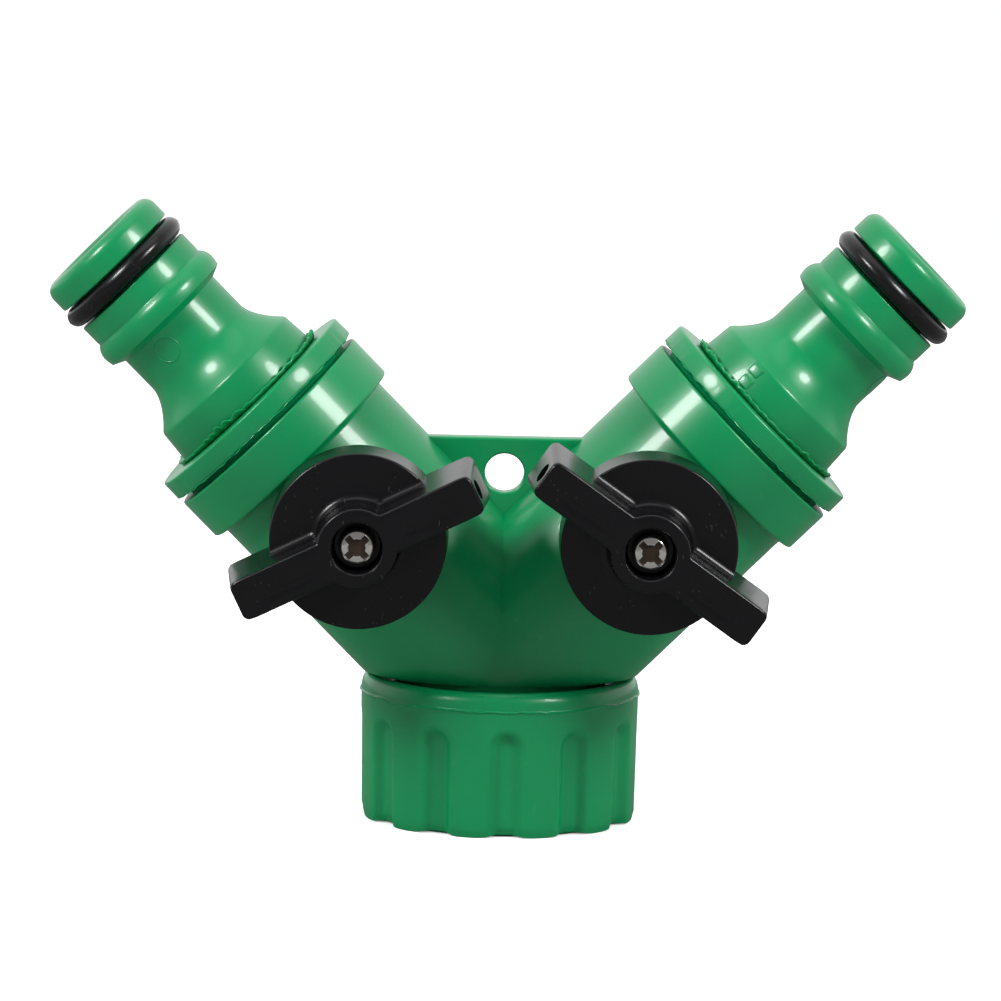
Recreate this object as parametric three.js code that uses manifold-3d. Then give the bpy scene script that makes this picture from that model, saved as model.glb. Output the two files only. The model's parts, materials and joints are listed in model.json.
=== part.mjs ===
// Garden hose splitter: one threaded swivel inlet below, two quarter-turn ball valves, two snap-in
// nipples on arms at 45 degrees. Millimetres, +Z up, handles to the front (-Y).
// Origin: centre of the bounding box in X and Y, at the nut's bottom face.

import * as THREE from 'three';
import { mergeVertices } from 'three/addons/utils/BufferGeometryUtils.js';
import Module from 'manifold-3d';

const wasm = await Module();
wasm.setup();

// ---------------------------------------------------------------- driving dimensions

const GAP = 0.3;                 // clearance between pieces that touch on the real object
const ARM_ANGLE = Math.PI / 4;   // each arm leans this far from the vertical
const CROSS_Z = 18.1;            // height where the two arm axes and the nut axis meet

// Swivel nut, G 3/4 inside
const NUT_R = 16;
const NUT_FOOT_R = 15.8;
const NUT_H = 16.6;
const NUT_SHOULDER_Z = 14.6;
const NUT_RIM_R = 15.3;
const NUT_LIP_R = 12.2;
const NUT_LIP_Z = [13.0, 15.2];
const NUT_UNDERCUT_R = 13.5;
const FLUTES = 12;
const FLUTE_R = 3.0;
const FLUTE_DEPTH = 0.9;
const FLUTE_TOP_Z = 12.4;
const NUT_TURN_DEG = 2.8;         // how far the nut happens to be turned about its axis
const THREAD_MAJOR_R = 13.22;
const THREAD_MINOR_R = 12.06;
const THREAD_PITCH = 1.814;
const THREAD_Z = [1.3, 7.2];
const THREAD_ROOT_HALF = 0.72;   // half widths of the ridge at its root and at its crest
const THREAD_CREST_HALF = 0.18;
const THREAD_SINK = 0.15;        // how far its root is sunk into the nut's wall
const THREAD_STEPS_PER_TURN = 18;

// Housing: inlet spigot, barrels, collars, boss under each handle, hanging tab
const SPIGOT_R = 11.85;
const SPIGOT_Z = 11.2;
const SNAP_R = 12.95;
const SNAP_TOP_Z = 12.7;
const BODY_FOOT_Z = 16.95;
const NECK_FOOT_Z = 15.55;
const INLET_BORE_R = 7.5;
const BARREL_R = 12.15;
const COLLAR_R = 13.55;
const COLLAR_S = [33.1, 38.6];   // distances "S" run along an arm's axis from the crossing
const CHAMBER_R = 9.0;
const CHAMBER_S = 14.6;
const MOUTH_R = 11.4;
const MOUTH_S = 34.6;
const BRANCH_BORE_R = 5.2;
const BOSS_R = 8.3;
const BOSS_FRONT = 13.7;         // distances "front" run towards -Y from the plane of the arms
const TAB_T = 2.4;
const TAB_ROOT = 5;                // how far the tab's corners reach into the barrels
const TAB_TOP_Z = 44.05;
const TAB_HOLE_Z = 39.95;
const TAB_HOLE_R = 2.25;

// Valve: ball, seats, stem
const VALVE_S = 23.15;
const BALL_R = 8.4;
const BALL_BORE_R = 4.6;
const SLOT_FRONT = 6.9;
const SLOT_W = 2.6;
const SEAT_R = 8.7;
const SEAT_LIP_R = 7.8;
const SEAT_BACK = 8.2;           // distance of a seat's flat back from the ball's centre
const STEM_HOLE_R = 4.0;
const STEM_R = 3.7;
const STEM_FLANGE_R = 5.2;
const STEM_FLANGE = [8.9, 10.5];
const STEM_SQUARE = 4.6;
const TONGUE = { length: 6.8, width: 2.0 };
const STEM_TOP = 19.6;
const STEM_GROOVE = [11.2, 12.9];
const STEM_GROOVE_R = 2.6;
const STEM_ORING = { ring: 3.3, section: 0.55 };
const PILOT_R = 1.55;

// Handle and its screw
const KNOB_R = { back: 10.15, face: 9.95 };
const KNOB_BACK = 14.0;
const KNOB_FACE = 20.6;
const BAR_FACE = 26.0;
const BAR_L = 29.5;
const BAR_W = 4.7;                // at its face; it widens towards the disc
const BAR_DRAFT = 0.45;
const BAR_CORNER_R = 0.7;
const HUB_R = { back: 5.0, face: 4.5 };
const RECESS_R = 2.9;
const RECESS_FLOOR = 23.4;
const STOP_R = [5.6, 8.7];       // ring-shaped pocket under the handle that holds its stops
const STOP_TOP = 17.0;
const LUG_HALF = THREE.MathUtils.degToRad(20);
const STOP_HALF = THREE.MathUtils.degToRad(24.5);
const SCREW_HEAD_R = 1.9;
const SCREW_HEAD = [23.7, 25.2];
const SCREW_R = 1.25;
const SCREW_TIP = 13.4;
const CROSS_SLOT = { length: 2.9, width: 0.75, depth: 1.0 };
const HANDLE_DEG = { left: 26, right: -35 };   // seen from the front, 0 is level, 90 is upright

// End cap and nipple
const CAP_FLANGE_R = 13.65;
const CAP_FLANGE_S = [39.4, 41.7];
const CAP_INNER_S = 31.6;
const CAP_SOCKET_R = 7.3;
const CAP_SOCKET_S = 34.0;
const CAP_BORE_R = 4.8;
const NIPPLE_BORE_R = 4.6;
const NIPPLE_SPIGOT_R = 7.0;
const BASE_R = 9.8;
const BASE_FRONT_S = 45.8;
const BASE_FRONT_R = 9.6;
const WAIST_R = 6.95;
const WAIST_S = [50.3, 54.8];
const FLARE_POWER = 1.7;
const CATCH_R = 8.4;
const CATCH_S = [55.5, 57.4];
const SLEEVE_R = 7.85;
const SLEEVE_S = 58.2;
const GROOVE_S = [60.9, 63.7];
const GROOVE_R = 5.8;
const TIP_R = 8.0;
const TIP_S = 67.0;
const TIP_ROUND = 1.3;
const ORING = { ring: 7.3, section: 1.2 };

// Hose washer in the nut
const WASHER_R = [7.6, 13.0];
const WASHER_Z = [8.5, 10.9];

// The nut axis lies this far behind the origin, so that the origin is the middle of the depth.
const AXIS_Y = (BAR_FACE - NUT_R) / 2;

const FINE = 28;
const MEDIUM = 18;
const COARSE = 10;

// ---------------------------------------------------------------- materials

const plastic = (color, roughness) => new THREE.MeshStandardMaterial({ color, roughness, metalness: 0 });

const PAINT = {
  green: () => plastic(0x0b8f4e, 0.25),
  black: () => plastic(0x1a1a1c, 0.35),
  rubber: () => plastic(0x141414, 0.6),
  white: () => plastic(0xe6e4dc, 0.4),
  metal: () => new THREE.MeshStandardMaterial({ color: 0xc9c6be, roughness: 0.2, metalness: 1 }),
};

// ---------------------------------------------------------------- solids

function signedVolume(verts, tris) {
  const corner = i => new THREE.Vector3().fromArray(verts, 3 * tris[i]);
  let sum = 0;
  for (let i = 0; i < tris.length; i += 3) {
    sum += corner(i).dot(corner(i + 1).cross(corner(i + 2)));
  }
  return sum / 6;
}

// A closed three.js geometry as a solid, with its faces turned outwards.
function solid(geometry) {
  const bare = geometry.clone();
  bare.deleteAttribute('normal');
  bare.deleteAttribute('uv');
  const merged = mergeVertices(bare, 1e-4);
  const verts = new Float32Array(merged.attributes.position.array);
  const all = Array.from(merged.index.array);
  const tris = [];
  for (let i = 0; i < all.length; i += 3) {
    const [a, b, c] = all.slice(i, i + 3);
    if (a !== b && b !== c && c !== a) tris.push(a, b, c);
  }
  if (signedVolume(verts, tris) < 0) tris.reverse();
  const mesh = new wasm.Mesh({ numProp: 3, vertProperties: verts, triVerts: new Uint32Array(tris) });
  return new wasm.Manifold(mesh);
}

function geometryOf(manifold) {
  const { numProp, vertProperties, triVerts } = manifold.getMesh();
  const positions = new Float32Array(vertProperties.length / numProp * 3);
  for (let i = 0; i < positions.length / 3; i += 1) {
    positions.set(vertProperties.subarray(i * numProp, i * numProp + 3), i * 3);
  }
  const geometry = new THREE.BufferGeometry();
  geometry.setAttribute('position', new THREE.BufferAttribute(positions, 3));
  geometry.setIndex(new THREE.BufferAttribute(new Uint32Array(triVerts), 1));
  geometry.computeVertexNormals();
  return geometry;
}

const union = parts => parts.reduce((sum, part) => sum.add(part));

// Turned solid about +Z from an outline of [radius, z] pairs.
function turned(outline, segments = FINE) {
  const points = outline.map(([r, z]) => new THREE.Vector2(r, z));
  const onAxis = outline[0][0] === 0 && outline.at(-1)[0] === 0;
  if (!onAxis) points.push(points[0].clone());
  return new THREE.LatheGeometry(points, segments).rotateX(Math.PI / 2);
}

const rod = (r, z0, z1, segments = FINE) => (
  solid(turned([[0, z0], [r, z0], [r, z1], [0, z1]], segments))
);

function cone(r0, r1, z0, z1, segments = FINE) {
  return solid(turned([[0, z0], [r0, z0], [r1, z1], [0, z1]], segments));
}

const tube = (rIn, rOut, z0, z1, segments = FINE) => (
  solid(turned([[rIn, z0], [rOut, z0], [rOut, z1], [rIn, z1]], segments))
);

function torus({ ring, section }, segments = FINE, sides = 6) {
  const outline = [];
  for (let i = 0; i < sides; i += 1) {
    const a = i / sides * 2 * Math.PI;
    outline.push([ring + section * Math.cos(a), section * Math.sin(a)]);
  }
  return turned(outline, segments);
}

function arc(centreR, centreZ, radius, from, to, steps) {
  const points = [];
  for (let i = 0; i <= steps; i += 1) {
    const a = THREE.MathUtils.degToRad(from + (to - from) * i / steps);
    points.push([centreR + radius * Math.cos(a), centreZ + radius * Math.sin(a)]);
  }
  return points;
}

// Flat outline in X and Y, pushed up from z0 to z1.
function slab(shape, z0, z1) {
  const plate = { depth: z1 - z0, bevelEnabled: false, curveSegments: 4 };
  return solid(new THREE.ExtrudeGeometry(shape, plate).translate(0, 0, z0));
}

function block(width, height, z0, z1) {
  return solid(new THREE.BoxGeometry(width, height, z1 - z0).translate(0, 0, (z0 + z1) / 2));
}

function roundedBar(length, width, corner) {
  const [x, y] = [length / 2, width / 2];
  const shape = new THREE.Shape();
  shape.moveTo(-x + corner, -y);
  shape.lineTo(x - corner, -y);
  shape.absarc(x - corner, -y + corner, corner, -Math.PI / 2, 0);
  shape.lineTo(x, y - corner);
  shape.absarc(x - corner, y - corner, corner, 0, Math.PI / 2);
  shape.lineTo(-x + corner, y);
  shape.absarc(-x + corner, y - corner, corner, Math.PI / 2, Math.PI);
  shape.lineTo(-x, -y + corner);
  shape.absarc(-x + corner, -y + corner, corner, Math.PI, 1.5 * Math.PI);
  return shape;
}

// Sector of a ring, centred on an angle.
function ringSector(rIn, rOut, centre, half) {
  const shape = new THREE.Shape();
  shape.absarc(0, 0, rOut, centre - half, centre + half, false);
  shape.absarc(0, 0, rIn, centre + half, centre - half, true);
  return shape;
}

// ---------------------------------------------------------------- places

const SIDES = { left: -1, right: 1 };

const valveX = side => SIDES[side] * VALVE_S * Math.sin(ARM_ANGLE);
const VALVE_Z = CROSS_Z + VALVE_S * Math.cos(ARM_ANGLE);

// Moves a solid built about +Z onto an arm: +Z becomes the arm's axis.
function ontoArm(manifold, side) {
  return manifold
    .rotate([0, SIDES[side] * THREE.MathUtils.radToDeg(ARM_ANGLE), 0])
    .translate([0, 0, CROSS_Z]);
}

// Moves a solid built about +Z onto a valve: +Z points to the front, out of the handle.
function ontoValve(manifold, side) {
  return manifold.rotate([90, 0, 0]).translate([valveX(side), 0, VALVE_Z]);
}

// ---------------------------------------------------------------- housing

function hangingTab() {
  const half = TAB_TOP_Z - CROSS_Z - BARREL_R * Math.SQRT2 + TAB_ROOT;
  const shape = new THREE.Shape();
  shape.moveTo(-half, TAB_TOP_Z);
  shape.lineTo(half, TAB_TOP_Z);
  shape.lineTo(0, TAB_TOP_Z - half);
  const hole = new THREE.Path();
  hole.absarc(0, TAB_HOLE_Z, TAB_HOLE_R, 0, 2 * Math.PI);
  shape.holes.push(hole);
  const plate = { depth: TAB_T, bevelEnabled: false, curveSegments: 10 };
  const geometry = new THREE.ExtrudeGeometry(shape, plate).translate(0, 0, -TAB_T / 2);
  return solid(geometry.rotateX(Math.PI / 2));
}

// One arm of the housing: barrel, collar, boss and the two stops that limit the handle.
function armOutside(side) {
  const barrel = rod(BARREL_R, 0, COLLAR_S[0] + 1);
  const collar = rod(COLLAR_R, ...COLLAR_S);
  const boss = rod(BOSS_R, 0, BOSS_FRONT, MEDIUM);
  const stops = [0, Math.PI].map(angle => (
    slab(ringSector(STOP_R[0] + GAP, BOSS_R, angle, STOP_HALF), BOSS_FRONT - 1, STOP_TOP - GAP)
  ));
  const onArm = [barrel, collar].map(part => ontoArm(part, side));
  const onValve = [boss, ...stops].map(part => ontoValve(part, side));
  return union([...onArm, ...onValve]);
}

function armInside(side) {
  const bore = rod(BRANCH_BORE_R, 0, CHAMBER_S + 1, MEDIUM);
  const chamber = rod(CHAMBER_R, CHAMBER_S, MOUTH_S + 1);
  const mouth = rod(MOUTH_R, MOUTH_S, COLLAR_S[1] + 1);
  const stemPocket = rod(STEM_FLANGE_R + GAP, 0, STEM_FLANGE[1] + GAP, MEDIUM);
  const stemHole = rod(STEM_HOLE_R, 0, BOSS_FRONT + 1, MEDIUM);
  const onArm = [bore, chamber, mouth].map(part => ontoArm(part, side));
  const onValve = [stemPocket, stemHole].map(part => ontoValve(part, side));
  return union([...onArm, ...onValve]);
}

function housing() {
  const above = solid(new THREE.BoxGeometry(160, 80, 100).translate(0, 0, BODY_FOOT_Z + 50));
  const arms = union([armOutside('left'), armOutside('right')]).intersect(above);
  const neck = rod(BARREL_R, NECK_FOOT_Z, CROSS_Z);
  const spigot = solid(turned([
    [0, SPIGOT_Z],
    [SNAP_R - 0.7, SPIGOT_Z],
    [SNAP_R, SPIGOT_Z + 0.7],
    [SNAP_R, SNAP_TOP_Z],
    [SPIGOT_R, SNAP_TOP_Z],
    [SPIGOT_R, CROSS_Z],
    [0, CROSS_Z],
  ]));
  const outside = union([arms, neck, spigot, hangingTab()]);
  const inlet = solid(turned([
    [0, SPIGOT_Z - 1],
    [INLET_BORE_R, SPIGOT_Z - 1],
    [INLET_BORE_R, CROSS_Z],
    [0, CROSS_Z + INLET_BORE_R * 0.6],
  ], MEDIUM));
  return outside.subtract(union([inlet, armInside('left'), armInside('right')]));
}

// ---------------------------------------------------------------- swivel nut

// Inner thread: a straight toothed bar, bent round the axis once per turn.
function threadRidge() {
  const turns = (THREAD_Z[1] - THREAD_Z[0]) / THREAD_PITCH;
  const steps = Math.round(turns * THREAD_STEPS_PER_TURN);
  const rootR = THREAD_MAJOR_R + THREAD_SINK;
  const section = new THREE.Shape();
  section.moveTo(rootR, -THREAD_ROOT_HALF);
  section.lineTo(THREAD_MINOR_R, -THREAD_CREST_HALF);
  section.lineTo(THREAD_MINOR_R, THREAD_CREST_HALF);
  section.lineTo(rootR, THREAD_ROOT_HALF);
  const bar = new THREE.ExtrudeGeometry(section, { depth: 1, steps, bevelEnabled: false });
  const position = bar.attributes.position;
  for (let i = 0; i < position.count; i += 1) {
    const along = position.getZ(i);
    const runOut = Math.min(1, 0.15 + Math.min(along, 1 - along) * turns * 2);
    const radius = rootR - (rootR - position.getX(i)) * runOut;
    const angle = along * turns * 2 * Math.PI;
    const height = THREAD_Z[0] + position.getY(i) + along * turns * THREAD_PITCH;
    position.setXYZ(i, radius * Math.cos(angle), radius * Math.sin(angle), height);
  }
  return solid(bar);
}

function swivelNut() {
  const shell = solid(turned([
    [THREAD_MAJOR_R + 0.6, 0],
    [NUT_FOOT_R - 0.3, 0],
    [NUT_FOOT_R, 0.3],
    [NUT_R, NUT_SHOULDER_Z],
    [NUT_R - 0.15, NUT_SHOULDER_Z + 1.0],
    [NUT_R - 0.4, NUT_H - 0.35],
    [NUT_RIM_R, NUT_H],
    [NUT_RIM_R - 0.4, NUT_H],
    [NUT_RIM_R - 0.7, NUT_LIP_Z[1]],
    [NUT_LIP_R, NUT_LIP_Z[1]],
    [NUT_LIP_R, NUT_LIP_Z[0]],
    [NUT_UNDERCUT_R, NUT_LIP_Z[0]],
    [NUT_UNDERCUT_R, THREAD_Z[1] + 1.1],
    [THREAD_MAJOR_R, THREAD_Z[1] + 0.8],
    [THREAD_MAJOR_R, 0.7],
  ], 36));
  const cutterOutline = [
    [0, -1],
    [FLUTE_R, -1],
    ...arc(0, FLUTE_TOP_Z - FLUTE_R, FLUTE_R, 0, 90, 2).slice(0, -1),
    [0, FLUTE_TOP_Z],
  ];
  const cutter = solid(turned(cutterOutline, COARSE));
  const flutes = [];
  for (let i = 0; i < FLUTES; i += 1) {
    const placed = cutter
      .translate([0, -(NUT_R + FLUTE_R - FLUTE_DEPTH), 0])
      .rotate([0, 0, i * 360 / FLUTES]);
    flutes.push(placed);
  }
  return shell.subtract(union(flutes)).add(threadRidge());
}

// ---------------------------------------------------------------- valve pieces, +Z to the front

// The ball's bore and the slot for the stem's tongue both run along X, as the handle does.
function valveBall() {
  const sphere = solid(new THREE.SphereGeometry(BALL_R, MEDIUM, 12));
  const bore = rod(BALL_BORE_R, -BALL_R - 1, BALL_R + 1, MEDIUM).rotate([0, 90, 0]);
  const slot = block(2 * BALL_R + 2, SLOT_W, SLOT_FRONT, BALL_R + 1);
  return sphere.subtract(bore).subtract(slot);
}

function valveStem() {
  const shank = solid(turned([
    [0, STEM_FLANGE[0]],
    [STEM_FLANGE_R, STEM_FLANGE[0]],
    [STEM_FLANGE_R, STEM_FLANGE[1]],
    [STEM_R, STEM_FLANGE[1]],
    [STEM_R, STEM_GROOVE[0]],
    [STEM_GROOVE_R, STEM_GROOVE[0]],
    [STEM_GROOVE_R, STEM_GROOVE[1]],
    [STEM_R, STEM_GROOVE[1]],
    [STEM_R, BOSS_FRONT],
    [0, BOSS_FRONT],
  ], MEDIUM));
  const tongue = block(TONGUE.length, TONGUE.width, SLOT_FRONT + GAP, STEM_FLANGE[0] + 0.5);
  const square = block(STEM_SQUARE, STEM_SQUARE, BOSS_FRONT - 0.5, STEM_TOP);
  const pilot = rod(PILOT_R, SCREW_TIP - GAP, STEM_TOP + 1, COARSE);
  return union([shank, tongue, square]).subtract(pilot);
}

// The bar's long walls lean: each foot stands BAR_DRAFT outside its face edge.
function draftedBar() {
  const depth = BAR_FACE - KNOB_BACK;
  const plan = roundedBar(BAR_L, BAR_W, BAR_CORNER_R);
  const bar = new THREE.ExtrudeGeometry(plan, { depth, bevelEnabled: false, curveSegments: 3 });
  const position = bar.attributes.position;
  for (let i = 0; i < position.count; i += 1) {
    const down = 1 - position.getZ(i) / depth;
    position.setY(i, position.getY(i) + Math.sign(position.getY(i)) * BAR_DRAFT * down);
  }
  return solid(bar.translate(0, 0, KNOB_BACK));
}

function handle() {
  const disc = cone(KNOB_R.back, KNOB_R.face, KNOB_BACK, KNOB_FACE);
  const bar = draftedBar();
  const hub = cone(HUB_R.back, HUB_R.face, KNOB_BACK, BAR_FACE, MEDIUM);
  const lugs = [Math.PI / 2, -Math.PI / 2].map(angle => (
    slab(ringSector(STOP_R[0] - 0.5, STOP_R[1] + 0.5, angle, LUG_HALF), KNOB_BACK - 1, STOP_TOP + 1)
  ));
  const stopPocket = tube(...STOP_R, KNOB_BACK - 1, STOP_TOP).subtract(union(lugs));
  const socket = block(STEM_SQUARE + 2 * GAP, STEM_SQUARE + 2 * GAP, KNOB_BACK - 1, STEM_TOP + GAP);
  const screwHole = rod(PILOT_R, KNOB_BACK, BAR_FACE, COARSE);
  const recess = rod(RECESS_R, RECESS_FLOOR, BAR_FACE + 1, MEDIUM);
  return union([disc, bar, hub]).subtract(union([stopPocket, socket, screwHole, recess]));
}

function handleScrew() {
  const body = solid(turned([
    [0, SCREW_TIP],
    [SCREW_R * 0.5, SCREW_TIP],
    [SCREW_R, SCREW_TIP + 1],
    [SCREW_R, SCREW_HEAD[0]],
    [SCREW_HEAD_R, SCREW_HEAD[0]],
    [SCREW_HEAD_R, SCREW_HEAD[1] - 0.35],
    [SCREW_HEAD_R - 0.45, SCREW_HEAD[1]],
    [0, SCREW_HEAD[1]],
  ], COARSE));
  const slots = [45, 135].map(turn => (
    block(CROSS_SLOT.length, CROSS_SLOT.width, SCREW_HEAD[1] - CROSS_SLOT.depth, SCREW_HEAD[1] + 1)
      .rotate([0, 0, turn])
  ));
  return body.subtract(union(slots));
}

// Seat ring behind the ball; its hollow face keeps the ball's curve.
function seatRing() {
  const hollowR = BALL_R + GAP;
  const face = [];
  const steps = 3;
  for (let i = 0; i <= steps; i += 1) {
    const r = BRANCH_BORE_R + (SEAT_LIP_R - BRANCH_BORE_R) * i / steps;
    face.push([r, -Math.sqrt(hollowR ** 2 - r ** 2)]);
  }
  return turned([
    [BRANCH_BORE_R, -SEAT_BACK],
    ...face,
    [SEAT_R, face.at(-1)[1]],
    [SEAT_R, -SEAT_BACK],
  ], MEDIUM);
}

// ---------------------------------------------------------------- end cap and nipple, +Z along the arm

const endCap = () => turned([
  [CAP_BORE_R, CAP_INNER_S],
  [SEAT_R, CAP_INNER_S],
  [SEAT_R, MOUTH_S + GAP],
  [MOUTH_R - GAP, MOUTH_S + GAP],
  [MOUTH_R - GAP, CAP_FLANGE_S[0]],
  [CAP_FLANGE_R, CAP_FLANGE_S[0]],
  [CAP_FLANGE_R, CAP_FLANGE_S[1]],
  [CAP_SOCKET_R, CAP_FLANGE_S[1]],
  [CAP_SOCKET_R, CAP_SOCKET_S],
  [CAP_BORE_R, CAP_SOCKET_S],
]);

// The foot of the waist flares out to the base, more and more steeply.
function flare() {
  const points = [];
  const steps = 4;
  for (let i = 0; i <= steps; i += 1) {
    const out = 1 - i / steps;
    const r = WAIST_R + (BASE_FRONT_R - WAIST_R) * out ** FLARE_POWER;
    points.push([r, WAIST_S[0] - (WAIST_S[0] - BASE_FRONT_S) * out]);
  }
  return points;
}

const nipple = () => turned([
  [NIPPLE_BORE_R, CAP_SOCKET_S + GAP],
  [NIPPLE_SPIGOT_R, CAP_SOCKET_S + GAP],
  [NIPPLE_SPIGOT_R, CAP_FLANGE_S[1] + GAP],
  [BASE_R, CAP_FLANGE_S[1] + GAP],
  ...flare(),
  [WAIST_R, WAIST_S[1]],
  [CATCH_R, CATCH_S[0]],
  [CATCH_R, CATCH_S[1]],
  [SLEEVE_R, SLEEVE_S],
  [SLEEVE_R, GROOVE_S[0]],
  [GROOVE_R, GROOVE_S[0]],
  [GROOVE_R, GROOVE_S[1]],
  [TIP_R, GROOVE_S[1]],
  ...arc(TIP_R - TIP_ROUND, TIP_S - TIP_ROUND, TIP_ROUND, 0, 90, 2),
  [NIPPLE_BORE_R, TIP_S],
]);

// ---------------------------------------------------------------- assembly

const model = new THREE.Group();
model.position.y = AXIS_Y;

function add(parent, name, shape, material) {
  const geometry = shape.isBufferGeometry ? geometryOf(solid(shape)) : geometryOf(shape);
  const mesh = new THREE.Mesh(geometry, material());
  mesh.name = name;
  parent.add(mesh);
  return mesh;
}

add(model, 'y_housing', housing(), PAINT.green);
add(model, 'swivel_nut', swivelNut(), PAINT.green).rotation.z = THREE.MathUtils.degToRad(NUT_TURN_DEG);
add(model, 'hose_washer', tube(...WASHER_R, ...WASHER_Z), PAINT.rubber);

for (const side of Object.keys(SIDES)) {
  const arm = new THREE.Group();
  arm.position.z = CROSS_Z;
  arm.rotation.y = SIDES[side] * ARM_ANGLE;
  model.add(arm);
  add(arm, `${side}_inner_seat`, seatRing(), PAINT.white).position.z = VALVE_S;
  const outerSeat = add(arm, `${side}_outer_seat`, seatRing(), PAINT.white);
  outerSeat.position.z = VALVE_S;
  outerSeat.rotation.x = Math.PI;
  add(arm, `${side}_end_cap`, endCap(), PAINT.green);
  add(arm, `${side}_nipple`, nipple(), PAINT.green);
  add(arm, `${side}_nipple_oring`, torus(ORING), PAINT.rubber).position.z = (GROOVE_S[0] + GROOVE_S[1]) / 2;

  const valve = new THREE.Group();
  valve.position.set(valveX(side), 0, VALVE_Z);
  valve.rotation.x = Math.PI / 2;
  model.add(valve);
  const spindle = new THREE.Group();
  spindle.rotation.z = THREE.MathUtils.degToRad(HANDLE_DEG[side]);
  valve.add(spindle);
  add(spindle, `${side}_valve_ball`, valveBall(), PAINT.white);
  add(spindle, `${side}_valve_stem`, valveStem(), PAINT.white);
  add(spindle, `${side}_knob`, handle(), PAINT.black);
  add(valve, `${side}_knob_screw`, handleScrew(), PAINT.metal);
  const stemSeal = add(valve, `${side}_stem_oring`, torus(STEM_ORING, MEDIUM), PAINT.rubber);
  stemSeal.position.z = (STEM_GROOVE[0] + STEM_GROOVE[1]) / 2;
}

export default model;
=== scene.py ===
# %% [markdown]
# # A garden hose splitter, from frame to finish
# The part has one threaded swivel nut below, two arms with a ball valve each, and a snap-in nipple on
# each arm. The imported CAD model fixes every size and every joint. This lesson builds the visible skin
# of each piece around it: smooth turned surfaces with real edge roundings, mould marks and weld flash.

import json
import math

import bmesh
import bpy
import numpy as np
from mathutils import Matrix, Vector, noise


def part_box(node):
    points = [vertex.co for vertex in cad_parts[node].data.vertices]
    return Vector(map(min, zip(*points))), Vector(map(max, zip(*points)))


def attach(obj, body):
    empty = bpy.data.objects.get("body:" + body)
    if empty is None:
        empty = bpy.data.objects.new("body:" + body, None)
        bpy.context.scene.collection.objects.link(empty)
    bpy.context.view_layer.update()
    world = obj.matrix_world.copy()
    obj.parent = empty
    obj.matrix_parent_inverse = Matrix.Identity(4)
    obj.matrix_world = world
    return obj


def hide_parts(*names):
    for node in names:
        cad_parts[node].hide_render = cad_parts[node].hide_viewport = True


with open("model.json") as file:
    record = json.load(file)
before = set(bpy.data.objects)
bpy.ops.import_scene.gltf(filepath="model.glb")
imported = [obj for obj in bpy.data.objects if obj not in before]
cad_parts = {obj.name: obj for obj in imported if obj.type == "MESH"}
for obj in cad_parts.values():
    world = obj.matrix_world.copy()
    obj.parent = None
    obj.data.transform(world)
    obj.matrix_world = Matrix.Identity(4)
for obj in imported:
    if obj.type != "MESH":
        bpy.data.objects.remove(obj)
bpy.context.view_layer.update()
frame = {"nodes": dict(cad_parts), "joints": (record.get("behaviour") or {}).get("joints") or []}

# %% [markdown]
# Lengths below are in millimetres, as on a drawing, and MM turns them into metres. The three places that
# everything hangs on come from the frame: the nut's axis, the crossing of the two arms, and the valves.

# %% Places on the frame
MM = 0.001
SIDES = {"left": -1, "right": 1}
nut_low, nut_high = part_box("swivel_nut")
AXIS_Y = (nut_low.y + nut_high.y) / 2 / MM
valve_joint = {
    side: next(j for j in frame["joints"] if j["name"] == f"{side}_valve_turn") for side in SIDES
}
valve_at = {side: [x / MM for x in valve_joint[side]["pos_m"]] for side in SIDES}
CROSS_Z = valve_at["right"][2] - valve_at["right"][0]
handle_angle = {side: 45 - valve_joint[side]["range_deg"][1] for side in SIDES}
print("axis y", round(AXIS_Y, 2), "crossing z", round(CROSS_Z, 2), "handles", handle_angle)


def arm_place(side):
    """A piece made about +Z goes onto an arm: +Z runs out along the arm."""
    turn = Matrix.Rotation(SIDES[side] * math.pi / 4, 4, "Y")
    return Matrix.Translation((0, AXIS_Y, CROSS_Z)) @ turn


def valve_place(side, degrees=0):
    """A piece made about +Z goes onto a valve: +Z points to the front, turned by the handle's angle."""
    stand = Matrix.Rotation(math.pi / 2, 4, "X") @ Matrix.Rotation(math.radians(degrees), 4, "Z")
    return Matrix.Translation(valve_at[side]) @ stand


NUT_PLACE = Matrix.Translation((0, AXIS_Y, 0))

# %% [markdown]
# ## Camera
# A long lens from about three quarters of a metre, eight degrees above level and a hair off straight,
# with the small tilt of a hand-set tripod. A long lens keeps the two arms' tips almost edge-on.

# %% Camera
CAMERA_AIM = Vector((0, AXIS_Y, 33.53)) * MM
CAMERA_DISTANCE = 0.7664
CAMERA_AZIMUTH = math.radians(-0.269)
CAMERA_HEIGHT = math.radians(8.124)
CAMERA_ROLL = math.radians(1.206)
backwards = Vector((
    math.sin(CAMERA_AZIMUTH) * math.cos(CAMERA_HEIGHT),
    -math.cos(CAMERA_AZIMUTH) * math.cos(CAMERA_HEIGHT),
    math.sin(CAMERA_HEIGHT),
))
camera_data = bpy.data.cameras.new("camera")
camera_data.sensor_width = 36
camera_data.lens = 239.5
camera_data.shift_x = -0.0028
camera_data.shift_y = 0.0266
camera_data.clip_start = 0.05
camera_data.clip_end = 20
camera = bpy.data.objects.new("camera", camera_data)
bpy.context.scene.collection.objects.link(camera)
upright = backwards.to_track_quat("Z", "Y").to_matrix().to_4x4()
camera.matrix_world = (
    Matrix.Translation(CAMERA_AIM + backwards * CAMERA_DISTANCE)
    @ upright
    @ Matrix.Rotation(CAMERA_ROLL, 4, "Z")
)
bpy.context.scene.camera = camera
print("camera at", [round(x, 3) for x in camera.matrix_world.translation])

# %% Node helpers


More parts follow.
